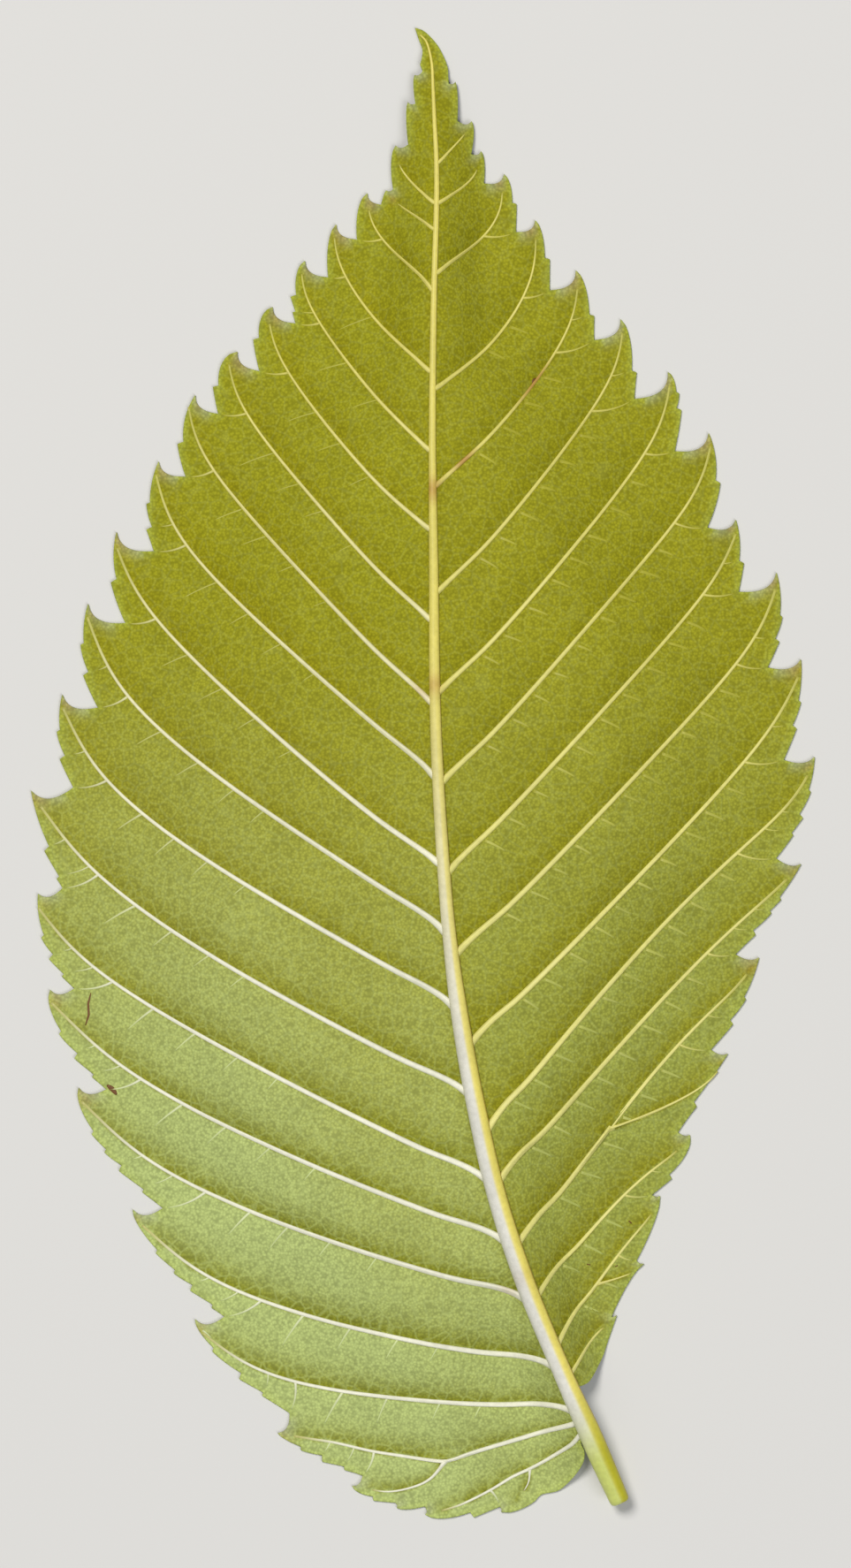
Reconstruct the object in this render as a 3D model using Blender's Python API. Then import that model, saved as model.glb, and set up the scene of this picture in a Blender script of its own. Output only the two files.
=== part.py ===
"""Elm leaf laid on its upper face, so that the underside with its raised veins looks up.

The stalk runs on as the midrib between the two unequal halves of the blade, and a drip tip closes
the blade at its apex. Side veins and their forks lie on the underside, each aimed at a tooth.
Apex towards +Y, underside towards +Z. The tables below are in millimetres, the scene in metres.
"""

import math

import bmesh
import bpy
import numpy as np
from mathutils import Vector

MM = 0.001

GAP = 0.3  # clear space kept between two pieces
BLADE_THICKNESS = 1.1  # a hundredth of the leaf's length
CREST = 4.5  # how far a very broad leaf would arch above its margins at mid length
NARROW = 16.0  # the width at which only half of that arch is left
HALF_LENGTH = 55.0

VEIN_THICKNESS = 0.48  # a full-length side vein where it leaves the midrib
VEIN_TIP_THICKNESS = 0.16
LONG_VEIN = 36.0  # a vein of this length or more has the full thickness
VEIN_END_CLEAR = 1.0  # a vein stops this far short of its tooth's tip
VEIN_STEPS = 60  # fineness of the line that a vein's own rows are taken from
HANDLES_AT = (0.5, 0.85)  # shares of a vein's way where its two handles are

HOLLOW = 0.13  # sag of a tooth's upper edge, as a share of that edge
BULGE = 0.07  # swell of a tooth's lower edge, as a share of that edge
NEAR_TIP_BULGE = 0.5  # share of that swell on the first stretch below the tip
LONG_LOWER_EDGE = 7.0  # a lower edge of this length or more has small teeth of full depth
SMALL_TEETH_EVERY = 2.7  # length of lower edge that carries one small tooth
SMALL_TOOTH = 0.32  # depth of a small tooth
SMALL_TOOTH_SLANT = 0.12  # how far its tip points down the margin
GRID = 8.0  # spacing of the lines across the blade, where its arch bends

# The stalk and midrib from the tip down to the cut: x, y, thickness.
MIDRIB = (
    (0.8, 48.7, 0.30),
    (1.0, 43.0, 0.40),
    (0.8, 34.3, 0.50),
    (0.7, 24.5, 0.58),
    (0.8, 14.7, 0.70),
    (0.9, 4.9, 0.82),
    (1.3, -3.6, 0.92),
    (1.9, -11.4, 1.02),
    (2.8, -17.9, 1.15),
    (4.0, -24.5, 1.22),
    (5.5, -31.0, 1.28),
    (7.6, -37.5, 1.36),
    (10.2, -44.0, 1.50),
    (12.1, -48.2, 1.72),
    (13.2, -50.8, 1.74),
    (14.5, -53.7, 1.46),
)

# The teeth of one side from the apex down: tip x, tip y, depth of the sinus above the tooth,
# how far that sinus lies below the tip along the margin. Then the vein that ends in the tooth:
# y where it leaves the midrib, and how far its two handles lie towards the stalk.
LEFT_TEETH = (
    (-0.6, 51.5, 0.6, -0.3),
    (-1.1, 49.5, 0.6, 0.0),
    (-2.0, 46.3, 0.9, -0.3, 42.1, 1.4, 0.4),
    (-2.7, 43.0, 0.5, -0.2, 40.1, 0.5, 0.2),
    (-4.1, 42.8, 0.9, -0.9, 35.6, 1.3, 1.4),
    (-6.4, 40.5, 1.7, -0.3, 29.7, 2.2, 1.7),
    (-8.7, 37.8, 1.9, -0.2, 23.9, 2.4, 2.0),
    (-11.1, 34.4, 1.7, 0.0, 18.1, 3.0, 2.1),
    (-13.7, 31.1, 1.7, 0.1, 11.4, 2.8, 2.8),
    (-16.8, 27.9, 1.7, -0.2, 5.3, 2.7, 3.5),
    (-19.5, 23.0, 2.0, 0.0, -0.2, 2.5, 4.2),
    (-22.6, 17.8, 2.7, -0.2, -6.5, 3.3, 3.3),
    (-24.7, 12.5, 2.6, 0.3, -11.7, 2.9, 5.2),
    (-26.6, 5.8, 2.4, 0.2, -17.2, 2.9, 5.1),
    (-28.9, -1.3, 2.7, -1.2, -23.5, 3.2, 3.9),
    (-28.4, -8.9, 1.7, -0.3, -29.8, 2.7, 4.1),
    (-27.5, -16.0, 1.6, 0.1, -34.4, 3.2, 3.5),
    (-25.4, -23.2, 1.8, 0.7, -38.6, 4.4, 3.4),
    (-21.4, -32.2, 1.9, 0.8, -43.5, 3.7, 3.5),
    (-16.7, -40.5, 1.6, 0.9, -47.0, 2.9, 3.8),
    (-10.7, -48.7, 1.6, -0.7),
    (-5.2, -52.6, 0.9, 0.2, -48.0, -1.2, 3.6),
    (-1.9, -54.2, 0.3, -0.3),
    (0.2, -54.7, 0.6, -0.2, -49.3, -0.5, 1.3),
    (5.8, -54.5, 0.4, -0.1),
)
RIGHT_TEETH = (
    (2.4, 51.0, 0.5, -0.2),
    (3.6, 48.1, 1.0, -0.4, 45.0, 0.5, 0.2),
    (4.3, 45.9, 0.8, 0.0, 42.1, 1.6, 0.3),
    (6.0, 44.2, 1.4, -0.6, 37.0, 2.8, 0.8),
    (8.3, 40.8, 1.5, -0.1, 28.5, 3.7, 1.5),
    (11.3, 37.1, 2.3, -0.1, 21.3, 2.8, 2.5),
    (14.6, 33.5, 2.4, -0.2, 13.5, 3.1, 2.5),
    (18.1, 29.6, 3.1, -0.2, 6.1, 3.0, 2.9),
    (21.1, 25.1, 2.6, -0.3, -0.5, 2.4, 3.1),
    (23.1, 18.7, 2.1, -0.1, -7.2, 1.7, 2.7),
    (26.1, 14.8, 2.9, -0.6, -13.2, 2.4, 3.2),
    (27.9, 8.4, 2.4, -0.1, -20.0, 2.1, 2.9),
    (28.9, 1.2, 2.3, -0.1, -26.4, -0.9, 1.9),
    (27.9, -6.7, 1.9, -0.2, -30.1, -0.3, -0.6),
    (24.8, -13.6, 1.3, 0.5, -34.6, 0.6, 0.0),
    (22.5, -20.7, 1.3, 0.1),
    (19.7, -26.7, 0.7, 0.2, -38.6, -0.6, -0.1),
    (17.5, -31.2, 0.3, 0.2, -42.3, -0.1, 0.5),
    (16.3, -36.2, 0.6, -0.1),
    (14.3, -40.0, 0.3, 0.3, -44.2, 0.5, -1.0),
)
# A fork: the tooth whose vein it leaves, how far along that vein, its end, its two handles.
LEFT_FORKS = ((21, 0.44, (-10.7, -48.7), 0.2, 0.1),)
RIGHT_FORKS = (
    (14, 0.33, (22.5, -20.7), 1.4, 1.5),
    (17, 0.33, (16.3, -36.2), 0.4, 0.4),
)

APEX = (-0.55, 55.0)
LEFT_APEX_EDGE = ((-0.25, 53.9), (0.0, 52.6))
RIGHT_APEX_EDGE = ((0.2, 54.6), (0.8, 53.7), (1.3, 52.8), (1.6, 51.8))
LEFT_BASE_EDGE = ((8.7, -53.3), (10.5, -52.6), (11.4, -51.5))
RIGHT_BASE_EDGE = ((13.7, -42.0), (12.9, -44.0), (12.3, -44.8))
TIP_PIECE_ENDS_AT = 1  # the tooth of each side under which the drip tip is cut off
LEFT_HALF_FROM = -50.6  # y of the lowest point of each half along the midrib
RIGHT_HALF_FROM = -45.2

BLADE_LOOK = ((0.30, 0.33, 0.07), 0.55)  # linear colour, roughness
VEIN_LOOK = ((0.72, 0.70, 0.36), 0.5)
STALK_LOOK = ((0.62, 0.62, 0.22), 0.45)


def clear_scene():
    for obj in list(bpy.data.objects):
        bpy.data.objects.remove(obj, do_unlink=True)


def look(name, colour, roughness):
    material = bpy.data.materials.new(name)
    material.use_nodes = True
    shader = material.node_tree.nodes["Principled BSDF"]
    shader.inputs["Base Color"].default_value = (*colour, 1.0)
    shader.inputs["Roughness"].default_value = roughness
    shader.inputs["Metallic"].default_value = 0.0
    return material


def smooth_line(rows, steps):
    """A Catmull-Rom line through the rows, with this many steps from one row to the next."""
    rows = np.array(rows, float)
    padded = np.vstack((2 * rows[0] - rows[1], rows, 2 * rows[-1] - rows[-2]))
    line = []
    for a, b, c, d in zip(padded, padded[1:], padded[2:], padded[3:]):
        for t in np.arange(steps) / steps:
            line.append(
                0.5 * (2 * b + (c - a) * t + (2 * a - 5 * b + 4 * c - d) * t**2
                       + (3 * b - a - 3 * c + d) * t**3)
            )
    line.append(rows[-1])
    return np.array(line)


MIDRIB_LINE = smooth_line(MIDRIB, 3)


def midrib_at(y):
    """(x, thickness) of the midrib at this height on the page."""
    up = MIDRIB_LINE[::-1]
    return np.interp(y, up[:, 1], up[:, 0]), np.interp(y, up[:, 1], up[:, 2])


def reach(teeth, y):
    """Distance of one side's margin from the midrib at this height on the page."""
    tips = sorted((tooth[1], tooth[0]) for tooth in teeth)
    levels, places = zip(*tips)
    return abs(np.interp(y, levels, places) - midrib_at(y)[0])


def arch(x, y):
    """Height of the blade's lower face: greatest on the midrib at mid length, 0 at the margins."""
    sides = reach(LEFT_TEETH, y), reach(RIGHT_TEETH, y)
    off_midrib = x - midrib_at(y)[0]
    across = min(abs(off_midrib) / max(sides[off_midrib > 0], 1.0), 1.0)
    along = min(abs(y) / HALF_LENGTH, 1.0)
    width = sum(sides)
    return CREST * width / (width + NARROW) * (1 - across**2) * (1 - along**4)


def turned(vector):
    return Vector((-vector.y, vector.x))


def bent(start, end, sag, steps=4):
    """Points of a line from start to end that sags to the left of its way, the ends included."""
    along = end - start
    middle = start + along / 2 + turned(along).normalized() * (2 * sag)
    share = [step / steps for step in range(steps + 1)]
    return [start * (1 - t) ** 2 + middle * (2 * t * (1 - t)) + end * t**2 for t in share]


def vein_path(start, end, near, far, side):
    """A vein's line: a cubic with its handles at HANDLES_AT, moved towards the stalk."""
    along = end - start
    aside = turned(along).normalized() * side
    handle_1 = start + along * HANDLES_AT[0] + aside * near
    handle_2 = start + along * HANDLES_AT[1] + aside * far
    path = []
    for step in range(VEIN_STEPS + 1):
        t = step / VEIN_STEPS
        path.append(
            start * (1 - t) ** 3 + handle_1 * (3 * t * (1 - t) ** 2)
            + handle_2 * (3 * t**2 * (1 - t)) + end * t**3
        )
    return path


def sinus_of(teeth, number, side):
    """The foot of a tooth's upper edge, inward of its tip."""
    x, y, depth, drop = teeth[number][:4]
    above = Vector(teeth[number - 1][:2]) if number else Vector(APEX)
    to_apex = (above - Vector((x, y))).normalized()
    inward = -turned(to_apex) * side
    return Vector((x, y)) + inward * depth - to_apex * drop


def lower_edge(tip, foot, side):
    """A tooth's lower edge from its tip, with small saw teeth, up to the next sinus."""
    length = (foot - tip).length
    count = int(length / SMALL_TEETH_EVERY)
    outward = turned(foot - tip).normalized() * -side
    down = (foot - tip).normalized()
    depth = SMALL_TOOTH * min(1.0, length / LONG_LOWER_EDGE)
    edge = []
    for number in range(count):
        share = (number + 1.35) / (count + 1.35)
        swell = 4 * BULGE * length * share * (1 - share)
        notch = tip + (foot - tip) * share + outward * (swell - depth)
        edge.append(notch)
        edge.append(notch + outward * depth * 1.5 + down * SMALL_TOOTH_SLANT)
    first = edge[0] if edge else foot
    middle = (tip + first) / 2 + outward * BULGE * length * NEAR_TIP_BULGE
    return [middle, *edge]


def margin(teeth, side, first, last):
    """The margin from the sinus above the first tooth to the sinus above the last one."""
    points = []
    for number in range(first, last):
        tip = Vector(teeth[number][:2])
        sinus = sinus_of(teeth, number, side)
        foot = sinus_of(teeth, number + 1, side)
        hollow = HOLLOW * (tip - sinus).length
        points += bent(sinus, tip, hollow * side, steps=3)
        points += lower_edge(tip, foot, side)
    return points


def whole_margin_end(teeth, side, base_edge):
    """The last tooth and the smooth stretch below it."""
    number = len(teeth) - 1
    tip = Vector(teeth[number][:2])
    sinus = sinus_of(teeth, number, side)
    edge = bent(sinus, tip, HOLLOW * (tip - sinus).length * side, steps=3)
    return edge + [Vector(point) for point in base_edge]


def inner_edge(side, lowest):
    """The edge of a blade half along the midrib, from its base up, clear of the midrib."""
    line = [Vector(row[:2]) for row in MIDRIB_LINE]
    edge = []
    for i, point in enumerate(line):
        along = line[max(i - 1, 0)] - line[min(i + 1, len(line) - 1)]
        aside = turned(along).normalized() * side
        edge.append(point + aside * (MIDRIB_LINE[i][2] / 2 + GAP))
    edge = [point for point in edge if point.y > lowest]
    return edge[::-1]


def slab(name, outline, collection, material):
    """A closed plate on this outline, arched, with its upper face of the leaf turned down."""
    curve = bpy.data.curves.new(name, "CURVE")
    curve.dimensions = "2D"
    curve.fill_mode = "BOTH"
    curve.extrude = BLADE_THICKNESS / 2 * MM
    spline = curve.splines.new("POLY")
    spline.points.add(len(outline) - 1)
    for point, place in zip(spline.points, outline):
        point.co = (place.x * MM, place.y * MM, 0, 1)
    spline.use_cyclic_u = True
    flat = bpy.data.objects.new(name + "_outline", curve)
    collection.objects.link(flat)
    graph = bpy.context.evaluated_depsgraph_get()
    mesh = bpy.data.meshes.new_from_object(flat.evaluated_get(graph))
    bpy.data.objects.remove(flat, do_unlink=True)
    bend(mesh)
    mesh.materials.clear()
    mesh.materials.append(material)
    obj = bpy.data.objects.new(name, mesh)
    collection.objects.link(obj)


def bend(mesh):
    """Welds the plate's caps, cuts it along a grid and lifts it to the arch."""
    form = bmesh.new()
    form.from_mesh(mesh)
    bmesh.ops.remove_doubles(form, verts=form.verts, dist=0.00001)
    for normal in (Vector((1, 0, 0)), Vector((0, 1, 0))):
        reach = math.ceil(HALF_LENGTH / GRID)
        for step in range(-reach, reach + 1):
            bmesh.ops.bisect_plane(
                form,
                geom=form.verts[:] + form.edges[:] + form.faces[:],
                plane_co=normal * (step * GRID * MM),
                plane_no=normal,
                dist=0.00001,
            )
    for vert in form.verts:
        vert.co.z += (BLADE_THICKNESS / 2 + arch(vert.co.x / MM, vert.co.y / MM)) * MM
    bmesh.ops.recalc_face_normals(form, faces=form.faces)
    form.to_mesh(mesh)
    form.free()


def limb(name, line, collection, material, ring=1):
    """A round tapering limb along (x, y, z, radius) rows, with flat ends."""
    curve = bpy.data.curves.new(name, "CURVE")
    curve.dimensions = "3D"
    curve.bevel_depth = MM
    curve.bevel_resolution = ring
    curve.use_fill_caps = True
    spline = curve.splines.new("POLY")
    spline.points.add(len(line) - 1)
    for point, (x, y, z, radius) in zip(spline.points, line):
        point.co = (x * MM, y * MM, z * MM, 1)
        point.radius = radius
    curve.materials.append(material)
    obj = bpy.data.objects.new(name, curve)
    collection.objects.link(obj)


def vein_thickness(path):
    length = (path[-1] - path[0]).length
    return VEIN_THICKNESS * min(1.0, 0.55 + 0.45 * length / LONG_VEIN)


def vein_rows(path, clear_of, steps):
    """Rows of a vein that lies on the blade, from clear of what it leaves to short of its tooth."""
    thick = vein_thickness(path)
    start, end = path[0], path[-1]
    first = next(i for i, p in enumerate(path) if (p - start).length > clear_of + thick / 2)
    last = max(i for i, p in enumerate(path) if (p - end).length > VEIN_END_CLEAR)
    rows = []
    for step in range(steps + 1):
        number = round(first + (last - first) * step / steps)
        radius = (thick + (VEIN_TIP_THICKNESS - thick) * number / VEIN_STEPS) / 2
        x, y = path[number]
        rows.append((x, y, arch(x, y) + BLADE_THICKNESS + GAP + radius, radius))
    return rows


def add_veins(name, teeth, forks, side, collection, material):
    """The veins of one side, numbered from the tip down, and their forks."""
    count = 0
    paths = {}
    for number, (x, y, _, _, *vein) in enumerate(teeth):
        if not vein:
            continue
        leaves_at, near, far = vein
        midrib_x, midrib_thick = midrib_at(leaves_at)
        path = vein_path(Vector((midrib_x, leaves_at)), Vector((x, y)), near, far, side)
        paths[number] = path
        count += 1
        # A vein leaves at a slant, so the way out of the midrib is longer than its radius.
        clear = (midrib_thick / 2 + GAP) * 1.25
        steps = 8 if (path[-1] - path[0]).length > 12 else 5
        limb(f"vein_{name}_{count:02d}", vein_rows(path, clear, steps), collection, material)
    for number, (tooth, share, end, near, far) in enumerate(forks, 1):
        parent = paths[tooth]
        start = parent[round(share * VEIN_STEPS)]
        path = vein_path(start, Vector(end), near, far, side)
        clear = (vein_thickness(parent) / 2 + GAP) * 1.6
        limb(f"fork_{name}_{number:02d}", vein_rows(path, clear, 5), collection, material)


def add_blade(collection, material):
    """The two unequal halves and the drip tip."""
    cut = TIP_PIECE_ENDS_AT
    left_cut = sinus_of(LEFT_TEETH, cut, 1)
    right_cut = sinus_of(RIGHT_TEETH, cut, -1)

    left = margin(LEFT_TEETH, 1, cut, len(LEFT_TEETH) - 1)
    left += whole_margin_end(LEFT_TEETH, 1, LEFT_BASE_EDGE) + inner_edge(1, LEFT_HALF_FROM)
    slab("blade_left", left, collection, material)

    right = margin(RIGHT_TEETH, -1, cut, len(RIGHT_TEETH) - 1)
    right += whole_margin_end(RIGHT_TEETH, -1, RIGHT_BASE_EDGE) + inner_edge(-1, RIGHT_HALF_FROM)
    slab("blade_right", right, collection, material)

    clear = Vector((0, GAP))
    left_tip = [Vector(p) for p in LEFT_APEX_EDGE] + margin(LEFT_TEETH, 1, 0, cut)
    right_tip = [Vector(p) for p in RIGHT_APEX_EDGE] + margin(RIGHT_TEETH, -1, 0, cut)
    tip = [Vector(APEX), *left_tip, left_cut + clear, right_cut + clear, *right_tip[::-1]]
    slab("blade_tip", tip, collection, material)


def add_stalk(collection, material):
    line = []
    for x, y, thick in MIDRIB_LINE:
        line.append((x, y, arch(x, y) + BLADE_THICKNESS, thick / 2))
    limb("stalk_and_midrib", line, collection, material, ring=4)


def centre_on_origin(collection):
    """Moves every piece so that the middle of the leaf's underside box lies at the origin."""
    bpy.context.view_layer.update()
    corners = [
        obj.matrix_world @ Vector(corner) for obj in collection.objects for corner in obj.bound_box
    ]
    low = Vector([min(corner[axis] for corner in corners) for axis in range(3)])
    high = Vector([max(corner[axis] for corner in corners) for axis in range(3)])
    middle = (low + high) / 2
    for obj in collection.objects:
        obj.location -= Vector((middle.x, middle.y, low.z))


def main():
    clear_scene()
    collection = bpy.data.collections.new("elm_leaf")
    bpy.context.scene.collection.children.link(collection)
    blade_look = look("blade", *BLADE_LOOK)
    vein_look = look("veins", *VEIN_LOOK)
    stalk_look = look("stalk", *STALK_LOOK)
    add_blade(collection, blade_look)
    add_stalk(collection, stalk_look)
    add_veins("left", LEFT_TEETH, LEFT_FORKS, 1, collection, vein_look)
    add_veins("right", RIGHT_TEETH, RIGHT_FORKS, -1, collection, vein_look)
    centre_on_origin(collection)


main()
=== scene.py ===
"""Elm leaf on its upper face, with the veined underside up, seen from straight above.

The blade is one fine sheet that bulges between its side veins. The midrib with the stalk, the side
veins and the finest veins are ridges that follow the sheet. Tables are in millimetres.
"""

import math

import bpy
import numpy as np
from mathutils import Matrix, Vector, kdtree
from mathutils.geometry import delaunay_2d_cdt

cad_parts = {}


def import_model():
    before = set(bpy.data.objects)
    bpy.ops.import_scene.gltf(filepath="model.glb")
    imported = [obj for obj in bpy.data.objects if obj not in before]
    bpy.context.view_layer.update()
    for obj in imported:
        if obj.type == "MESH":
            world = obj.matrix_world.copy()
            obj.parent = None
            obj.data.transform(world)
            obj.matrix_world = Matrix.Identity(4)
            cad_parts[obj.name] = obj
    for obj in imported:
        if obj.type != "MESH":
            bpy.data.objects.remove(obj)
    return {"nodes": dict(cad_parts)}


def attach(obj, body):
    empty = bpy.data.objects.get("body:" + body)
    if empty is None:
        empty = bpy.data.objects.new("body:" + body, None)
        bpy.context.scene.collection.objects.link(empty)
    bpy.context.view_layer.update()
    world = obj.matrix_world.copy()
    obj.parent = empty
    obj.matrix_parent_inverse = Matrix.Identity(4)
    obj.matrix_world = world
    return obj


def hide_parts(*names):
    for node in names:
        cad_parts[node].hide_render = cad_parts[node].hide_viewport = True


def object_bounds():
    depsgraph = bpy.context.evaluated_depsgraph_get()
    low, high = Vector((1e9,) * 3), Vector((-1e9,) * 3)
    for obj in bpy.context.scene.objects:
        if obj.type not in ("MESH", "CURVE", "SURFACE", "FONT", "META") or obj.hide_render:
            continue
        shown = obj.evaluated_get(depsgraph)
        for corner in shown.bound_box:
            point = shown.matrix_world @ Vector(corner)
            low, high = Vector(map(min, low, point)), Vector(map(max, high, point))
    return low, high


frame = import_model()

cad_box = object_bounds()

MM = 0.001
LEFT, RIGHT = 1, -1

# The photograph's frame in its own pixels, and what it holds.
PHOTO_WIDTH = 963
PHOTO_HEIGHT = 1774
PHOTO_ORIGIN = (478.5, 875)  # where the page's x and y are 0
LEAF_PIXELS = 1686
LEAF_LENGTH = 110.0

# The leaf's overall form, as in the solids.
APEX = (-0.55, 55.0)
HALF_LENGTH = 55.0
BLADE_TOP = 1.1  # height of the sheet above the arch's own line
CREST = 4.5  # height of the arch of a very broad blade
NARROW = 16.0  # a blade of this width arches half as high

SHEET = 0.30  # thickness of the blade in the middle
SHEET_EDGE = 0.20  # and at its margin
EDGE_FALL = 13.0  # width of the strip along the margin that comes down to the floor
TIP_FALL = 9.0  # the same for the drip tip
QUILT = 0.34  # how deep the side veins lie between the panels
FULL_PANEL = 5.0  # a panel this broad bulges in full
PANEL_FLATNESS = 2.4  # over 2, a panel is flatter on top than a parabola
WAVES = 0.07  # height of the slow waves of the whole sheet
MIDRIB_HOLDS = 4.0  # width of the strip that the midrib holds up
RIM_ROUND = 0.035  # how far the rim bulges

# Fineness of the sheet's mesh.
MARGIN_STEP = 0.14
GRID_STEP = 0.52
VEIN_STEP = 0.5
VEIN_ROW_CLEAR = 0.22
PATH_STEP = 0.3  # along a vein's own line
MARGIN_ROWS = (0.13, 0.34, 0.7)
VEIN_ROWS = (0.0, 0.28, 0.62, 1.05)

# Midrib and stalk from the tip down: x, y, thickness.
MIDRIB = (
    (-0.2, 54.5, 0.12),
    (0.3, 53.9, 0.16),
    (0.65, 52.4, 0.20),
    (0.75, 50.5, 0.25),
    (0.85, 48.2, 0.30),
    (1.0, 45.0, 0.36),
    (1.0, 41.5, 0.40),
    (0.8, 34.3, 0.46),
    (0.7, 24.5, 0.54),
    (0.8, 14.7, 0.70),
    (0.9, 4.9, 0.82),
    (1.3, -3.6, 0.92),
    (1.9, -11.4, 1.02),
    (2.73, -17.9, 1.28),
    (3.92, -24.5, 1.39),
    (5.43, -31.0, 1.43),
    (7.56, -37.5, 1.45),
    (10.25, -44.0, 1.42),
    (12.14, -48.2, 1.64),
    (13.27, -50.8, 1.62),
    (14.58, -53.75, 1.44),
)
BLADE_ENDS = -49.2  # y where the stalk leaves the blade

# Teeth of one side from the apex down: tip x, tip y, depth of the sinus above the tooth, how far
# that sinus lies below the tip along the margin, swell of the tooth's lower edge, shares of that
# edge at which small teeth are cut. Then the vein: y where it leaves the midrib and how far its
# three handles lie towards the stalk.
LEFT_TEETH = (
    (-0.6, 51.5, 0.6, -0.3, 0.10, ()),
    (-1.1, 49.5, 0.6, 0.0, 0.12, ()),
    (-2.0, 46.3, 0.9, -0.3, 0.25, (), 42.1, 0.6, 1.2, 0.3),
    (-2.7, 43.0, 0.5, -0.2, 0.04, (), 40.1, 0.2, 0.4, 0.2),
    (-4.1, 42.8, 1.0, -0.9, 0.38, (), 35.6, 0.1, 2.3, 0.7),
    (-6.4, 40.5, 1.9, -0.3, 0.34, (), 29.7, 1.4, 2.3, 1.4),
    (-8.7, 37.8, 2.1, -0.2, 0.55, (0.55, 0.81), 23.9, 1.8, 1.5, 2.3),
    (-11.1, 34.4, 2.1, 0.0, 0.8, (0.5,), 18.1, 2.3, 1.7, 2.6),
    (-13.7, 31.1, 2.2, 0.1, 0.95, (0.58,), 11.4, 2.0, 1.7, 3.3),
    (-16.8, 27.9, 2.2, -0.2, 0.74, (0.58,), 5.3, 1.8, 1.9, 3.9),
    (-19.5, 23.0, 2.3, 0.0, 0.62, (0.46, 0.73), -0.2, 0.9, 3.2, 3.7),
    (-22.6, 17.8, 3.1, -0.2, 0.6, (0.51,), -6.5, 2.0, 2.7, 3.6),
    (-24.7, 12.5, 3.1, 0.3, 0.78, (0.37, 0.65), -11.7, 0.3, 5.1, 3.9),
    (-26.6, 5.8, 2.8, 0.2, 0.66, (0.37, 0.65), -17.2, 0.3, 5.0, 3.8),
    (-28.9, -1.3, 2.9, -1.2, 0.26, (0.57, 0.88), -23.5, 0.9, 4.4, 2.7),
    (-28.4, -8.9, 1.85, -0.3, 0.85, (0.4, 0.61, 0.83), -29.8, 1.1, 2.95, 3.3),
    (-27.5, -16.0, 1.8, 0.1, 0.92, (0.36, 0.6, 0.83), -34.4, 0.6, 4.4, 2.1),
    (-25.4, -23.2, 1.95, 0.7, 1.10, (0.3, 0.45, 0.6, 0.82), -38.6, 0.8, 5.0, 2.4),
    (-21.4, -32.2, 2.1, 0.8, 0.70, (0.33, 0.52, 0.68, 0.88), -43.5, 0.7, 5.5, 2.3),
    (-16.8, -40.3, 2.0, 0.9, 0.72, (0.25, 0.53, 0.75), -46.85, 0.3, 4.7, 2.6),
    (-10.7, -48.7, 1.6, -0.7, 0.26, (0.28, 0.52, 0.78)),
    (-5.2, -52.6, 1.1, 0.2, 0.34, (0.5,)),
    (-1.9, -54.2, 0.3, -0.3, 0.14, ()),
    (0.2, -54.7, 0.6, -0.2, 0.50, (0.6,)),
    (5.8, -54.5, 0.4, -0.1, 0.3, ()),
)
RIGHT_TEETH = (
    (2.4, 51.0, 0.5, -0.2, 0.10, ()),
    (3.6, 48.1, 1.0, -0.4, 0.16, (), 45.0, 0.2, 0.4, 0.2),
    (4.3, 45.9, 0.8, 0.0, 0.16, (), 42.1, 0.4, 1.9, 0.0),
    (6.0, 44.2, 1.55, -0.6, 0.36, (0.5,), 37.0, 0.8, 3.2, 0.2),
    (8.3, 40.8, 1.7, -0.1, 0.36, (0.54,), 28.5, 2.1, 3.7, 1.1),
    (11.3, 37.1, 2.45, -0.1, 0.42, (0.64,), 21.3, 1.9, 2.7, 2.3),
    (14.6, 33.5, 2.5, -0.2, 0.48, (0.65,), 13.5, 2.2, 1.8, 3.0),
    (18.1, 29.6, 3.2, -0.2, 0.62, (0.26, 0.46), 6.1, 2.2, 1.8, 3.5),
    (21.1, 25.1, 2.85, -0.3, 0.76, (0.5,), -0.5, 2.1, 0.9, 3.8),
    (23.1, 18.7, 2.2, -0.1, 0.34, (0.57,), -7.2, 1.4, 1.0, 2.8),
    (26.1, 14.8, 3.1, -0.6, 0.66, (0.44, 0.69), -13.2, 1.9, 1.3, 3.8),
    (27.9, 8.4, 2.55, -0.1, 0.46, (0.4, 0.65), -20.0, 1.1, 1.6, 2.7),
    (28.9, 1.2, 2.3, -0.1, 0.66, (0.3, 0.54, 0.73), -26.4, 0.6, -2.5, 2.8),
    (27.9, -6.7, 1.9, -0.2, 0.28, (0.35, 0.5, 0.73), -30.1, 0.7, -1.8, 0.3),
    (24.8, -13.6, 1.7, 0.5, 0.5, (0.4, 0.66), -34.6, 1.5, -2.4, 1.2),
    (22.5, -20.7, 1.3, 0.1, 0.0, (0.63,)),
    (19.7, -26.7, 0.9, 0.2, 0.58, (0.62,), -38.6, 0.6, -1.9, 0.8),
    (17.5, -31.2, 0.6, 0.2, 0.25, (), -42.3, 0.4, -0.8, 0.9),
    (16.3, -36.2, 0.6, -0.1, -0.25, ()),
    (14.3, -40.0, 0.3, 0.3, 0.0, (), -44.2, 1.0, -1.2, -0.1),
)
# A fork: the tooth whose vein it leaves, the share of that vein, its end, its three handles.
RIGHT_FORKS = ((14, 0.405, (22.5, -20.7), 0.4, 1.7, 1.1), (17, 0.42, (16.3, -36.2), 0.1, 0.4, 0.3))
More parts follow.
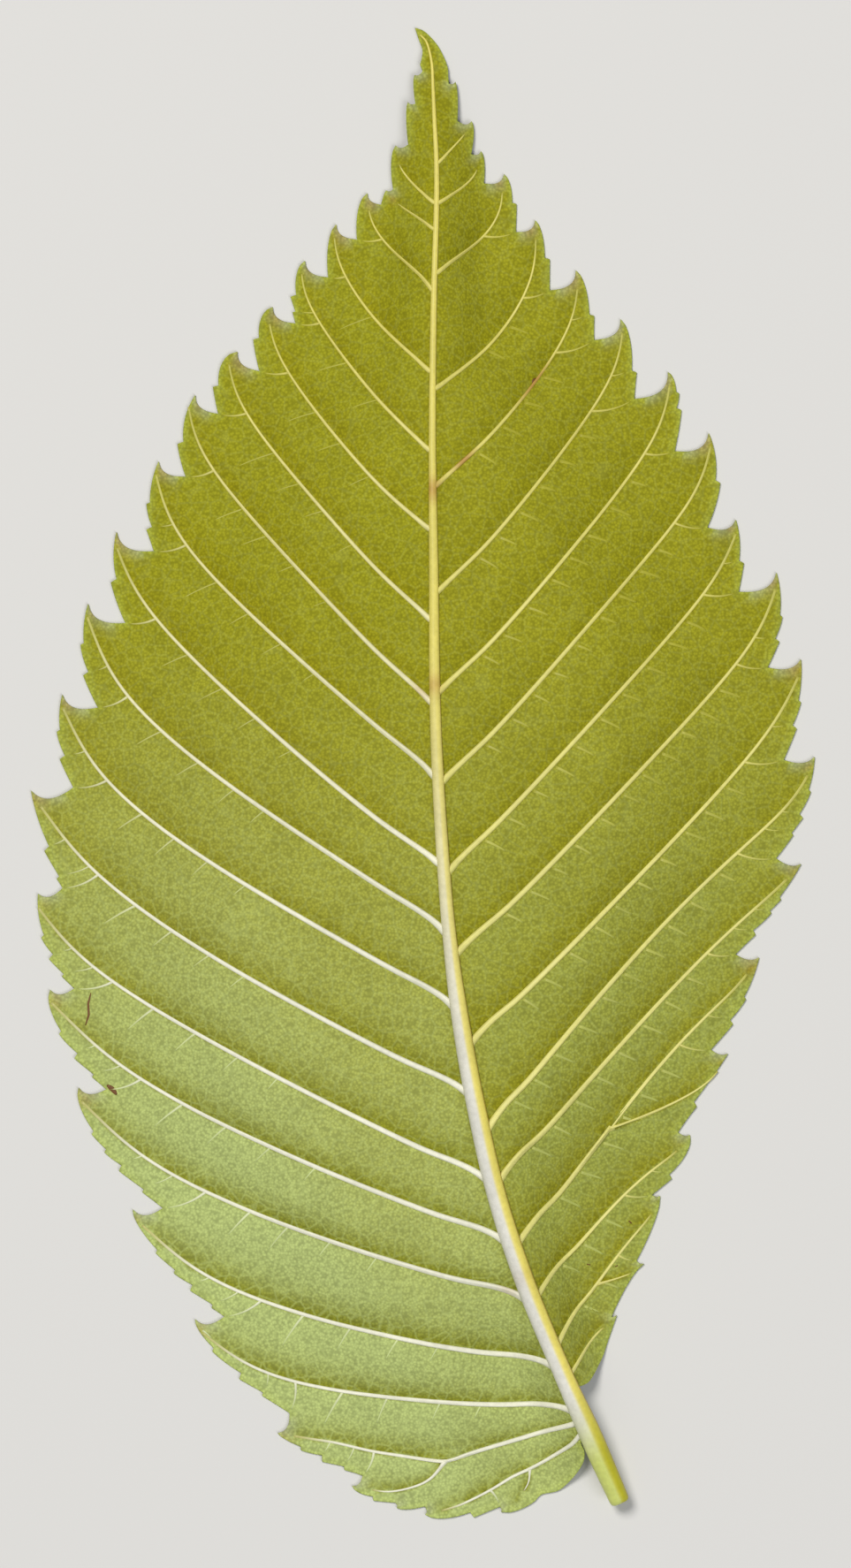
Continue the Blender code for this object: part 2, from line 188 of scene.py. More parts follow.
# The lowest veins of the left half, tooth and way points, and their forks.
LEFT_BASAL = (
    (20, (12.1, -47.5), (10.9, -47.95), (8.7, -48.6), (4.0, -50.0), (2.1, -50.65), (1.0, -50.72),
     (-1.2, -50.4), (-3.8, -50.0), (-6.4, -49.4), (-8.3, -49.1), (-10.7, -48.7)),
    (23, (12.1, -48.0), (11.4, -48.9), (10.8, -49.55), (9.2, -50.6), (7.9, -51.3), (6.6, -51.9),
     (5.3, -52.7), (4.0, -53.4), (2.7, -54.0), (1.4, -54.4), (0.2, -54.7)),
)
LEFT_BASAL_FORKS = (
    (20, (1.7, -50.7), (0.6, -52.0), (-0.7, -52.65), (-2.5, -53.0), (-4.1, -52.8), (-5.2, -52.6)),
    (23, (7.9, -51.3), (7.8, -52.3), (7.3, -53.2), (6.9, -54.0)),
)
HANDLES_AT = (0.1, 0.8, 0.8)
SMALL_TOOTH = {LEFT: 0.44, RIGHT: 0.36}  # depth of the cut before a small tooth
CUT_IN = 0.6  # share of it inside the margin's line; the small tooth stands out by the rest
CUT_WIDTH = 0.5  # width of a cut as a share of its depth
FULL_CUT_LENGTH = 5.0  # a lower edge of this length or more is cut to the full depth
MAIN_CUT_AT = 0.62  # the cut nearest to this share of a lower edge is the deepest
LESSER_CUT = 0.55  # the others have this share of that depth
EVEN_SWELL = (-14.0, 29.0)  # the teeth whose tips lie between these heights swell evenly
SWELL_SKEW = 0.72  # under 1, the lower edge of the other teeth swells most above its middle
# Sag of a tooth's upper edge as a share of its length, high up and low down.
HOLLOW = {LEFT: (0.22, 0.22), RIGHT: (0.24, 0.16)}
HOOK_AT = 0.68  # where along that edge it sags most
HOOK_FROM = 0.3  # from here to the tip that edge is paler, with a painted sheen

LEFT_APEX_EDGE = ((-0.25, 54.1), (0.0, 53.4), (-0.05, 52.8), (-0.18, 52.3))
RIGHT_APEX_EDGE = ((0.15, 54.7), (1.0, 53.8), (1.5, 52.9), (1.8, 52.1), (1.85, 51.5))
LEFT_BASE_EDGE = (
    (6.5, -54.5), (7.4, -54.2), (8.2, -53.73), (8.75, -53.2), (10.0, -52.9), (10.9, -52.1),
    (11.5, -51.3), (11.83, -50.6), (11.87, -49.9), (11.62, -49.2), (12.2, -48.7),
)
RIGHT_BASE_EDGE = (
    (13.7, -41.7), (13.3, -42.9), (12.9, -43.7), (12.5, -44.4), (12.1, -44.85), (11.4, -45.1),
)

# Ridges: half width and height of a full side vein, where it starts and where it ends.
VEIN_HALF_WIDTH = 0.23
VEIN_HALF_WIDTH_END = 0.10
RIGHT_VEINS_SIZE = 1.02
VEIN_HEIGHT = 0.27
VEIN_HEIGHT_END = 0.07
LONG_VEIN = 36.0
VEIN_STOPS_SHORT = 1.2
# A vein aims this far outside the tip of its tooth, except where LEANS says otherwise.
VEIN_LEAN = {LEFT: 0.5, RIGHT: 0.4}
LEANS = {
    LEFT: {8: 0.95, 9: 0.9, 14: 0.2, 15: 0.7, 16: 0.8, 17: 0.7},
    RIGHT: {12: 0.1, 13: 0.0, 14: -0.1, 16: 0.0, 17: 0.0},
}
FORK_SIZE = 0.8  # a fork's width and height next to those of a side vein
RIDGE_ROOT = 0.16  # how far a ridge reaches into the sheet
MIDRIB_BELOW = 0.10  # how far the midrib stands out of the sheet's hidden face

# A branch goes from a side vein to the sinus and to each small tooth after it.
BRANCHED_FROM = 6.0  # shortest side vein that has branches
SHORTEST_BRANCH = 0.8  # to a small tooth
LONGEST_BRANCH = 3.2
BRANCH_ENDS = 0.25  # share of its way that such a branch stops short
BRANCH_CLEAR = 0.12  # from the margin
# Degrees that a branch turns off the next tooth's upper edge: low down, and how many more high up.
BRANCH_TURN = {LEFT: (8.0, 30.0), RIGHT: (-5.0, 27.0)}
BRANCH_TURN_LOWEST = {LEFT: 12.0, RIGHT: 0.0}  # and how many more for the lowest teeth
# Stubs: how far the first lies from the branch to the sinus, and the next from it.
STUBS_START = {LEFT: 3.4, RIGHT: 2.2}
STUBS_APART = {LEFT: 3.3, RIGHT: 2.4}
STUB_LENGTH = {LEFT: 2.5, RIGHT: 1.5}
STUBBED_FROM = 9.0  # shortest side vein that has stubs
STUBS_END = 3.0  # least distance from the midrib
STUB_FADE = 0.68  # strength of a stub on the left as a share of the one before
FAINTEST_STUB = 0.3

# Half of a ridge's section: share of the half width, share of the height, extra depth.
SECTION = ((0.0, 1.0, 0.0), (0.35, 0.94, 0.0), (0.68, 0.68, 0.0), (0.92, 0.28, 0.0), (1.12, 0.0, 0.06))


def srgb(red, green, blue):
    """Linear colour of an 8-bit one."""
    shares = np.array((red, green, blue)) / 255
    return np.where(shares <= 0.04045, shares / 12.92, ((shares + 0.055) / 1.055) ** 2.4)


# Tones of the underside: the pale greens are partly the leaf's own colour and partly painted sheen.
OLIVE = srgb(156, 155, 30)
OLIVE_RIGHT = srgb(157, 155, 32)
GREY_GREEN_RIGHT = srgb(159, 168, 80)
PALE_GREEN = srgb(184, 198, 122)
# Painted shade: dark olive bands on the apex side of each side vein and beside the midrib.
SHADE_OLIVE = srgb(150, 142, 6)
SHADE_OLIVE_LOW = srgb(134, 136, 4)
SHADE_OLIVE_RIGHT = srgb(144, 140, 8)
# Painted light on the margin: a pale bluish sheen on the teeth's upper edges, a bright yellow-green
# rim on their lower edges.
PAINTED_SHEEN_BLUE = srgb(178, 184, 140)
PAINTED_RIM_LIGHT = srgb(190, 205, 90)
SCORCH = srgb(112, 72, 30)
RUST = srgb(176, 112, 48)
FACE_GREEN = srgb(72, 100, 38)
FACE_VEIN = srgb(128, 150, 74)
CREAM = srgb(240, 238, 216)
VEIN_GOLD = srgb(228, 221, 130)
VEIN_YELLOW = srgb(222, 212, 112)
VEIN_END = srgb(182, 178, 76)
# Midrib and stalk: a painted highlight on their left side, a golden tone on the right flank in shade.
STALK_SHADED_GREEN = srgb(190, 184, 36)
STALK_HIGHLIGHT = srgb(206, 214, 116)
MIDRIB_HIGHLIGHT_WHITE = srgb(226, 224, 213)
MIDRIB_HIGHLIGHT_UP = srgb(226, 213, 108)
MIDRIB_SHADED_GOLD = srgb(240, 224, 108)
MIDRIB_BROWN = srgb(168, 116, 36)
FLECK_HEIGHT = 0.03
# Rusty places on midrib and veins: x, y, radius. Scorched flecks: points, half width.
RUSTY = ((8.1, 28.9, 1.6), (0.4, 6.5, 0.8), (0.6, 20.8, 0.9), (3.0, 23.0, 1.0), (6.5, -37.3, 0.7))
FLECKS = (
    (((13.3, -50.6), (13.4, -50.8)), 0.08),
    (((8.1, 28.7), (8.25, 28.95), (8.4, 29.1)), 0.2),
    (((-24.5, -16.2), (-24.7, -17.0), (-24.65, -17.8), (-24.9, -18.6)), 0.09),
    (((-23.3, -23.0), (-22.9, -23.3), (-22.6, -23.7)), 0.2),
    (((15.2, -33.0), (15.4, -33.2)), 0.12),
    (((12.1, -36.2), (12.35, -36.25)), 0.11),
    (((14.2, -36.4), (14.4, -36.3)), 0.1),
)


def smoothstep(share):
    share = np.clip(share, 0.0, 1.0)
    return share * share * (3 - 2 * share)


def bell(ratio):
    return np.exp(-(ratio**2))


def mixed(one, other, share):
    share = np.asarray(share)[..., None]
    return one * (1 - share) + other * share


def smooth_line(rows, steps):
    """A Catmull-Rom line through the rows, with this many steps from one row to the next."""
    rows = np.array(rows, float)
    padded = np.vstack((2 * rows[0] - rows[1], rows, 2 * rows[-1] - rows[-2]))
    line = []
    for a, b, c, d in zip(padded, padded[1:], padded[2:], padded[3:]):
        for t in np.arange(steps) / steps:
            line.append(
                0.5 * (2 * b + (c - a) * t + (2 * a - 5 * b + 4 * c - d) * t**2
                       + (3 * b - a - 3 * c + d) * t**3)
            )
    line.append(rows[-1])
    return np.array(line)


MIDRIB_LINE = smooth_line(MIDRIB, 14)
MIDRIB_UP = MIDRIB_LINE[::-1]


def midrib_x(y):
    return np.interp(y, MIDRIB_UP[:, 1], MIDRIB_UP[:, 0])


def midrib_thick(y):
    return np.interp(y, MIDRIB_UP[:, 1], MIDRIB_UP[:, 2])


def reach(teeth, y):
    """Distance of one side's margin from the midrib at this height on the page."""
    tips = sorted((tooth[1], tooth[0]) for tooth in teeth)
    levels, places = zip(*tips)
    return np.abs(np.interp(y, levels, places) - midrib_x(y))


def unit(vector):
    return vector / max(np.hypot(*vector), 1e-9)


def turned(vector):
    return np.array((-vector[1], vector[0]))


def ways_of(line):
    """Unit directions along a line, one for each of its points."""
    ways = np.gradient(line, axis=0)
    return ways / np.maximum(np.hypot(*ways.T), 1e-9)[:, None]


def normals_of(line):
    """Unit normals to the left of a line, one for each of its points."""
    ways = ways_of(line)
    return np.column_stack((-ways[:, 1], ways[:, 0]))


def resampled(points, step):
    """The same polyline with points at an even spacing."""
    points = np.array(points, float)
    run = np.concatenate(([0.0], np.cumsum(np.hypot(*np.diff(points[:, :2], axis=0).T))))
    count = max(int(round(run[-1] / step)), 1)
    marks = np.linspace(0, run[-1], count + 1)
    return np.stack([np.interp(marks, run, column) for column in points.T], axis=1)


def towards_apex(teeth, number):
    """The way from a tooth's tip to the one above it."""
    above = np.array(teeth[number - 1][:2] if number else APEX)
    return unit(above - np.array(teeth[number][:2]))


def sinus_of(teeth, number, side):
    """The foot of a tooth's upper edge, inward of its tip."""
    tip = np.array(teeth[number][:2])
    depth, drop = teeth[number][2:4]
    to_apex = towards_apex(teeth, number)
    return tip - turned(to_apex) * side * depth - to_apex * drop


def upper_edge(sinus, tip, side):
    along = tip - sinus
    high_up, low_down = HOLLOW[side]
    hollow = high_up + (low_down - high_up) * smoothstep((25.0 - tip[1]) / 25.0)
    handle = sinus + along * HOOK_AT + turned(along) * side * 2 * hollow
    share = np.linspace(0, 1, 16)[:, None]
    return sinus * (1 - share) ** 2 + handle * 2 * share * (1 - share) + tip * share**2


def lower_edge(tip, foot, swell, cuts, side):
    """A tooth's lower edge from its tip to the next sinus, as runs between sharp small teeth."""
    along = foot - tip
    length = np.hypot(*along)
    outward = turned(unit(along)) * -side
    skew = 1.0 if EVEN_SWELL[0] < tip[1] < EVEN_SWELL[1] else SWELL_SKEW

    def place(share, inward):
        skewed = share**skew
        return tip + along * share + outward * (swell * 4 * skewed * (1 - skewed) - inward)

    main_cut = min(cuts, key=lambda share: abs(share - MAIN_CUT_AT), default=None)
    full_depth = SMALL_TOOTH[side] * min(1.0, length / FULL_CUT_LENGTH)
    runs = []
    start, stands_out = 0.0, 0.0
    for end in (*cuts, 1.0):
        depth = 0.0 if end == 1.0 else full_depth * (1.0 if end == main_cut else LESSER_CUT)
        run = []
        for part in np.linspace(0, 1, 9):
            inward = depth * CUT_IN * part**1.8 - stands_out * (1 - part) ** 2
            run.append(place(start + (end - start) * part, inward))
        runs.append(np.array(run))
        if end < 1.0:
            start = end + depth * CUT_WIDTH / length
            stands_out = depth * (1 - CUT_IN)
            runs.append(np.array((run[-1], place(start, -stands_out))))
    return runs


def margin_of(teeth, side, apex_edge, base_edge):
    """One side's margin from the apex down: points, and how near each is to the tip of its
    tooth along an upper edge, from 0 to 1.
    """
    runs = [(smooth_line((APEX, *apex_edge), 4), 0.0)]
    for number, (x, y, _, _, swell, cuts, *_) in enumerate(teeth):
        tip = np.array((x, y))
        sinus = sinus_of(teeth, number, side)
        if number == 0:
            runs.append((np.array((runs[-1][0][-1], sinus)), 0.0))
        runs.append((upper_edge(sinus, tip, side), 1.0))
        if number + 1 < len(teeth):
            foot = sinus_of(teeth, number + 1, side)
            runs += [(run, 0.0) for run in lower_edge(tip, foot, swell, cuts, side)]
    runs.append((smooth_line((teeth[-1][:2], *base_edge), 6), 0.0))
    rows = []
    for run, upper in runs:
        even = resampled(run, MARGIN_STEP)[:-1]
        rows.append(np.column_stack((even, upper * np.linspace(0, 1, len(even)))))
    rows.append(np.array(((*base_edge[-1], 0.0),)))
    return np.vstack(rows)


def outline():
    """The blade's closed outline, counter-clockwise, with the upper-edge mark as third column."""
    left = margin_of(LEFT_TEETH, LEFT, LEFT_APEX_EDGE, LEFT_BASE_EDGE)
    right = margin_of(RIGHT_TEETH, RIGHT, RIGHT_APEX_EDGE, RIGHT_BASE_EDGE)
    under_stalk = []
    for y in np.arange(-48.3, -45.2, 0.4):
        under_stalk.append((midrib_x(y), y, 0.0))
    return np.vstack((left, under_stalk, right[::-1][:-1]))


def bezier(start, handles, end, side, steps):
    """A line whose three handles at HANDLES_AT are moved towards the stalk."""
    start, end = np.array(start, float), np.array(end, float)
    along = end - start
    aside = turned(unit(along)) * side
    one, two, three = (
        start + along * at + aside * handle for at, handle in zip(HANDLES_AT, handles)
    )
    t = np.linspace(0, 1, steps + 1)[:, None]
    return (start * (1 - t) ** 4 + one * 4 * t * (1 - t) ** 3 + two * 6 * t**2 * (1 - t) ** 2
            + three * 4 * t**3 * (1 - t) + end * t**4)


def bent(path, side):
    """A vein leaves the midrib steeply and then swings outward."""
    run = np.hypot(*(path - path[0]).T)
    low = smoothstep((-5.0 - path[0, 1]) / 32.0)
    swing, width = (0.1 + 0.1 * low, 2.2) if side > 0 else (0.1 + 0.25 * low, 1.8)
    lift = swing * bell((run - 2.6) / width) - 0.3 * bell(run / 0.9)
    lift *= min(1.0, run[-1] / 8.0)
    return np.column_stack((path[:, 0], path[:, 1] + lift))


def veins_of(teeth, side):
    """Paths of one side's veins by tooth number, from the midrib out."""
    paths = {}
    for number, (x, y, _, _, _, _, *vein) in enumerate(teeth):
        if vein:
            leaves_at, *handles = vein
            start = (midrib_x(leaves_at), leaves_at)
            lean = LEANS[side].get(number, VEIN_LEAN[side] * min(1.0, number / 8.0))
            end = np.array((x, y)) + turned(towards_apex(teeth, number)) * side * lean
            paths[number] = bent(resampled(bezier(start, handles, end, side, 80), PATH_STEP), side)
    return paths


def traced(rows):
    """Paths through way points, each with the number of its tooth."""
    return [(number, resampled(smooth_line(points, 6), PATH_STEP)) for number, *points in rows]


def forks_of(paths, forks, side):
    branches = []
    for number, share, end, *handles in forks:
        parent = paths[number]
        start = parent[int(share * (len(parent) - 1))]
        branches.append(resampled(bezier(start, handles, end, side, 60), PATH_STEP))
    return branches


OUTLINE = outline()
LEFT_VEINS = {**veins_of(LEFT_TEETH, LEFT), **dict(traced(LEFT_BASAL))}
RIGHT_VEINS = veins_of(RIGHT_TEETH, RIGHT)
HALVES = (
    (LEFT_VEINS, [path for _, path in traced(LEFT_BASAL_FORKS)], LEFT),
    (RIGHT_VEINS, forks_of(RIGHT_VEINS, RIGHT_FORKS, RIGHT), RIGHT),
)


POINTS_AT_ONCE = 8000  # keeps the table of distances small


def offset_from(line, points):
    """Signed distance from a line, positive on its left, and the share of the way along it."""
    ways = ways_of(line)
    signed = np.empty(len(points))
    share = np.empty(len(points))
    for first in range(0, len(points), POINTS_AT_ONCE):
        here = slice(first, first + POINTS_AT_ONCE)
        part = points[here]
        gaps = ((part[:, None] - line[None]) ** 2).sum(axis=2)
        nearest = gaps.argmin(axis=1)
        off = part - line[nearest]
        way = ways[nearest]
        across = way[:, 0] * off[:, 1] - way[:, 1] * off[:, 0]
        end = (nearest == 0) | (nearest == len(line) - 1)
        straight = np.sqrt(gaps[np.arange(len(part)), nearest])
        sign = np.where(across >= 0, 1.0, -1.0)
        signed[here] = np.where(end, sign * straight, across)
        share[here] = nearest / (len(line) - 1)
    return signed, share


def tree_of(points):
    tree = kdtree.KDTree(len(points))
    for number, (x, y) in enumerate(points):
        tree.insert((x, y, 0.0), number)
    tree.balance()
    return tree


def distances(tree, points):
    return np.array([tree.find((x, y, 0.0))[2] for x, y in points])


MARGIN_TREE = tree_of(resampled(OUTLINE, 0.07)[:, :2])
UPPER_TREE = tree_of(OUTLINE[OUTLINE[:, 2] > HOOK_FROM][:, :2])
LOWER_TREE = tree_of(OUTLINE[OUTLINE[:, 2] < HOOK_FROM][:, :2])
MIDRIB_TREE = tree_of(resampled(MIDRIB_LINE[:, :2], 0.1))


FAR = 100.0  # in place of the distance to a vein that isn't there
END_PANEL = 3.0  # least width of what lies past the last vein


class Place:
    """Where points on the page lie between the veins."""

    def __init__(self, points):
        self.x, self.y = points.T
        self.off = self.x - midrib_x(self.y)
        self.to_midrib = distances(MIDRIB_TREE, points)
        self.to_margin = distances(MARGIN_TREE, points)
        self.above = np.full(len(points), FAR)  # distance to the next vein towards the apex
        self.below = np.full(len(points), FAR)  # and to the next one towards the stalk
        self.share = np.zeros(len(points))  # how far along the vein below
        for veins, branches, side in HALVES:
            here = np.where(self.off * side <= 0)[0]
            for line in (*veins.values(), *branches):
                signed, share = offset_from(line, points[here])
                towards_stalk = signed * side
                gap = np.abs(signed)
                up = (towards_stalk > 0) & (gap < self.above[here])
                self.above[here[up]] = gap[up]
                down = (towards_stalk <= 0) & (gap < self.below[here])
                self.below[here[down]] = gap[down]
                self.share[here[down]] = share[down]
        missing = FAR / 2
        self.above = np.where(self.above > missing, np.maximum(self.below, END_PANEL), self.above)
        self.below = np.where(self.below > missing, np.maximum(self.above, END_PANEL), self.below)


def arch(x, y):
    sides = np.where(x < midrib_x(y), reach(LEFT_TEETH, y), reach(RIGHT_TEETH, y))
    width = reach(LEFT_TEETH, y) + reach(RIGHT_TEETH, y)
    across = np.minimum(np.abs(x - midrib_x(y)) / np.maximum(sides, 1.0), 1.0)
    along = np.minimum(np.abs(y) / HALF_LENGTH, 1.0)
    return CREST * width / (width + NARROW) * (1 - across**2) * (1 - along**4)


def height(place):
    """Height of the sheet's visible face."""
    held_by_midrib = 1 - smoothstep(place.to_midrib / MIDRIB_HOLDS)
    lifted = 1 - (1 - smoothstep(place.to_margin / EDGE_FALL)) * (1 - held_by_midrib)
    lifted = lifted * smoothstep((APEX[1] - place.y) / TIP_FALL)
    z = SHEET_EDGE + (arch(place.x, place.y) + BLADE_TOP - SHEET_EDGE) * lifted
    panel = place.above + place.below
    share = place.below / np.maximum(panel, 1e-6)
    pillow = 1 - np.abs(2 * share - 1) ** PANEL_FLATNESS
    depth = QUILT * np.minimum(panel / FULL_PANEL, 1.0)
    depth *= smoothstep(place.to_midrib / 1.3) * (0.35 + 0.65 * smoothstep(place.to_margin / 4.0))
    depth *= smoothstep((z - SHEET_EDGE) / 0.8 + 0.2)
    waves = WAVES * np.sin(place.x * 0.41 + place.y * 0.17) * np.sin(place.y * 0.29 - place.x * 0.13)
    return z + depth * (pillow - 1) + waves * lifted


def sheet_points():
    """Points of the sheet's mesh: the outline first, then rows beside margin and veins, a grid."""
    rim = OUTLINE[:, :2]
    wanted = []
    ways = np.roll(rim, -1, axis=0) - np.roll(rim, 1, axis=0)
    ways /= np.maximum(np.hypot(*ways.T), 1e-9)[:, None]
    inward = np.column_stack((-ways[:, 1], ways[:, 0]))
    for depth in MARGIN_ROWS:
        row = rim + inward * depth
        wanted.append((row[distances(MARGIN_TREE, row) > depth * 0.8], depth * 0.75))
    lines = [resampled(MIDRIB_LINE[:, :2], VEIN_STEP)]
    for veins, branches, _ in HALVES:
        lines += [resampled(path, VEIN_STEP) for path in (*veins.values(), *branches)]
    for offset in VEIN_ROWS:
        for line in lines:
            for sign in (1, -1) if offset else (1,):
                wanted.append((line + normals_of(line) * offset * sign, VEIN_ROW_CLEAR))
    low, high = rim.min(axis=0), rim.max(axis=0)
    rows = []
    for number, y in enumerate(np.arange(low[1], high[1], GRID_STEP * math.sqrt(0.75))):
        x = np.arange(low[0], high[0], GRID_STEP) + GRID_STEP / 2 * (number % 2)
        rows.append(np.column_stack((x, np.full(len(x), y))))
    wanted.append((np.vstack(rows), GRID_STEP * 0.62))
    return rim, wanted


def inside(points, polygon):
    """Which points lie in the polygon, by counting crossings row by row."""
    x, y = points.T
    hits = np.zeros(len(points), int)
    following = np.roll(polygon, -1, axis=0)
    for (ax, ay), (bx, by) in zip(polygon, following):
        if ay == by:
            continue
        crosses = (ay > y) != (by > y)
        if crosses.any():
            at = ax + (y[crosses] - ay) / (by - ay) * (bx - ax)
            hits[np.where(crosses)[0][at > x[crosses]]] += 1
    return hits % 2 == 1


def thinned(rim, wanted):
    """The rim and those wanted points that keep their distance from all taken before."""
    cell = 0.5
    taken = {}
    kept = []

    def key(x, y):
        return int(x // cell), int(y // cell)

    for x, y in rim:
        taken.setdefault(key(x, y), []).append((x, y))
    for points, clear in wanted:
        points = points[inside(points, rim)]
        points = points[distances(MARGIN_TREE, points) > min(clear, 0.3) * 0.9]
        for x, y in points:
            i, j = key(x, y)
            near = (
                place
                for di in (-1, 0, 1)
                for dj in (-1, 0, 1)
                for place in taken.get((i + di, j + dj), ())
            )
            if all((x - px) ** 2 + (y - py) ** 2 >= clear * clear for px, py in near):
                taken.setdefault((i, j), []).append((x, y))
                kept.append((x, y))
    return np.vstack((rim, kept))


SHIFT_Y = cad_box[1].y / MM - APEX[1]


def world(x, y, z):
    return np.column_stack((x, y + SHIFT_Y, z)) * MM


def make_object(name, places, faces, materials, face_materials=None):
    mesh = bpy.data.meshes.new(name)
    mesh.from_pydata(places.tolist(), [], faces)
    for material in materials:
        mesh.materials.append(material)
    if face_materials is not None:
        mesh.polygons.foreach_set("material_index", face_materials)
    mesh.polygons.foreach_set("use_smooth", [True] * len(mesh.polygons))
    mesh.update()
    obj = bpy.data.objects.new(name, mesh)
    bpy.context.scene.collection.objects.link(obj)
    return obj


def tube_faces(ring, rows, start=0, flipped=False):
    """Faces of a closed tube, whose points are listed line by line along it from start on."""
    faces = []
    for row in range(rows - 1):
        for part in range(ring):
            a = start + part * rows + row
            b = start + (part + 1) % ring * rows + row
            faces.append((a, a + 1, b + 1, b) if flipped else (a, b, b + 1, a + 1))
    first = [start + part * rows for part in range(ring)]
    last = [vert + rows - 1 for vert in first]
    return faces + ([first, last[::-1]] if flipped else [first[::-1], last])


def add_colours(obj, colours, alpha=None):
    attribute = obj.data.color_attributes.new("Tint", "FLOAT_COLOR", "POINT")
    alpha = np.ones(len(colours)) if alpha is None else alpha
    attribute.data.foreach_set("color", np.column_stack((colours, alpha)).ravel())


def underside_colours(place, points):
    """Colour of the sheet's underside, with painted shade, painted sheen and a painted bright rim in
    it, and how pale it is there, from 0 to 1.
    """
    left = place.off < 0
    low = smoothstep((14.0 - place.y) / 52.0)
    outer = smoothstep((np.abs(place.off) - 6.0) / 14.0)
    lowest = smoothstep((-28.0 - place.y) / 18.0)
    # Paler lower down and outward: partly the leaf's own tone, partly painted sheen. On the right each
    # panel is also lighter towards the vein above it, as painted light on its slope.
    left_pale_and_sheen = np.clip(low * (0.58 + 0.5 * outer + 0.25 * lowest), 0, 1)
    up_panel = place.below / np.maximum(place.above + place.below, 1e-6)
    right_grey_and_sheen = smoothstep((16.0 - place.y) / 44.0) * (0.42 + 0.45 * up_panel + 0.12 * outer)
    panel = np.where(
        left[:, None],
        mixed(OLIVE, PALE_GREEN, left_pale_and_sheen),
        mixed(OLIVE_RIGHT, GREY_GREEN_RIGHT, right_grey_and_sheen),
    )
    # Painted shade: a dark olive band along the apex side of each vein, fading over the panel above
    # it.
    painted_shade = np.where(left[:, None], mixed(SHADE_OLIVE, SHADE_OLIVE_LOW, low), SHADE_OLIVE_RIGHT)
    width = place.above + place.below
    shade_fall = np.exp(-((place.below / np.clip(width * 0.29, 0.4, 1.6)) ** 1.5))
    along = smoothstep(place.to_midrib / 1.0) * (1 - 0.35 * smoothstep((place.share - 0.75) / 0.25))
    shade_share = shade_fall * (0.62 + 0.33 * low) * along * smoothstep(place.to_margin / 0.8)
    colour = mixed(panel, painted_shade, shade_share)
    # Painted shade beside the midrib.
    near_midrib = bell(place.to_midrib / (midrib_thick(place.y) / 2 + 0.5))
    colour = mixed(colour, painted_shade, 0.5 * near_midrib)
    # Painted sheen along the upper edges of the teeth, widest near their tips.
    to_upper = distances(UPPER_TREE, points)
    to_lower = distances(LOWER_TREE, points)
    tip_sheen = bell(to_upper / 0.6) * bell(to_lower / 1.3) * 0.6
    line = bell(to_upper / 0.15) * 0.6
    colour = mixed(colour, PAINTED_SHEEN_BLUE, np.maximum(tip_sheen, line) * (to_upper < to_lower + 0.2))
    # Painted light: a thin bright yellow-green rim along the lower edges of the teeth.
    light = bell(to_lower / 0.15) * 0.5
    colour = mixed(colour, PAINTED_RIM_LIGHT, light)
    colour = mixed(colour, RUST, 0.28 * tip_rust(points))
    return colour, np.where(left, left_pale_and_sheen, 0.35 * right_grey_and_sheen)


def near_any(points, spots):
    """Closeness to the nearest of the spots, from 0 to 1; a spot is x, y, radius."""
    close = np.zeros(len(points))
    for x, y, radius in spots:
        off = np.hypot(points[:, 0] - x, points[:, 1] - y)
        close = np.maximum(close, bell(off / radius))
    return close


def tip_rust(points):
    """Rusty tinge just inside the tips of the teeth, on some more than on others."""
    spots = []
    for teeth, side in ((LEFT_TEETH, LEFT), (RIGHT_TEETH, RIGHT)):
        for number, (x, y, *_) in enumerate(teeth[3:-4]):
            spots.append((x + 0.35 * side, y - 0.7, 0.3 + 0.25 * (number * 7 % 3)))
    return near_any(points, spots)


def upper_face_colours(place):
    vein = bell(np.minimum(place.above, place.below) / 0.22) * 0.7
    rib = bell(place.to_midrib / (midrib_thick(place.y) * 0.5))
    tone = FACE_GREEN * (0.92 + 0.16 * smoothstep(place.to_margin / 6.0))[:, None]
    return mixed(tone, FACE_VEIN, np.maximum(vein, rib))


def add_sheet(materials):
    rim, wanted = sheet_points()
    points = thinned(rim, wanted)
    count = len(rim)
    edges = [(number, (number + 1) % count) for number in range(count)]
    found = delaunay_2d_cdt([Vector(point) for point in points], edges, [], 1, 1e-5)
    flat = np.array([tuple(vert) for vert in found[0]])
    triangles = [tuple(face) for face in found[2]]
    place = Place(flat)
    top = height(place)
    thick = SHEET_EDGE + (SHEET - SHEET_EDGE) * smoothstep(place.to_margin / 2.0)
    bottom = np.maximum(top - thick, 0.0)

    ways = dict.fromkeys(pair for a, b, c in triangles for pair in ((a, b), (b, c), (c, a)))
    border = [pair for pair in ways if pair[::-1] not in ways]
    outward = np.zeros((len(flat), 2))
    for a, b in border:
        way = unit(flat[b] - flat[a])
        for end in (a, b):
            outward[end] += (way[1], -way[0])
    on_rim = sorted({a for pair in border for a in pair})
    ring = {vert: 2 * len(flat) + number for number, vert in enumerate(on_rim)}
    push = outward[on_rim] / np.maximum(np.hypot(*outward[on_rim].T), 1e-9)[:, None]
    rim_points = flat[on_rim] + push * RIM_ROUND
    total = len(flat)
    faces = list(triangles)
    faces += [(c + total, b + total, a + total) for a, b, c in triangles]
    face_looks = [0] * len(triangles) + [1] * len(triangles)
    for a, b in border:
        faces.append((a, ring[a], ring[b], b))
        faces.append((ring[a], a + total, b + total, ring[b]))
        face_looks += [0, 0]
    places = np.vstack((
        world(*flat.T, top),
        world(*flat.T, bottom),
        world(*rim_points.T, (top[on_rim] + bottom[on_rim]) / 2),
    ))
    sheet = make_object("leaf_blade", places, faces, materials, face_looks)
    colours, pale = underside_colours(place, flat)
    add_colours(
        sheet,
        np.vstack((colours, upper_face_colours(place), colours[on_rim])),
        np.concatenate((pale, pale, pale[on_rim])),
    )
    lay_out(sheet, total, rim_points, push, len(triangles))
    return sheet


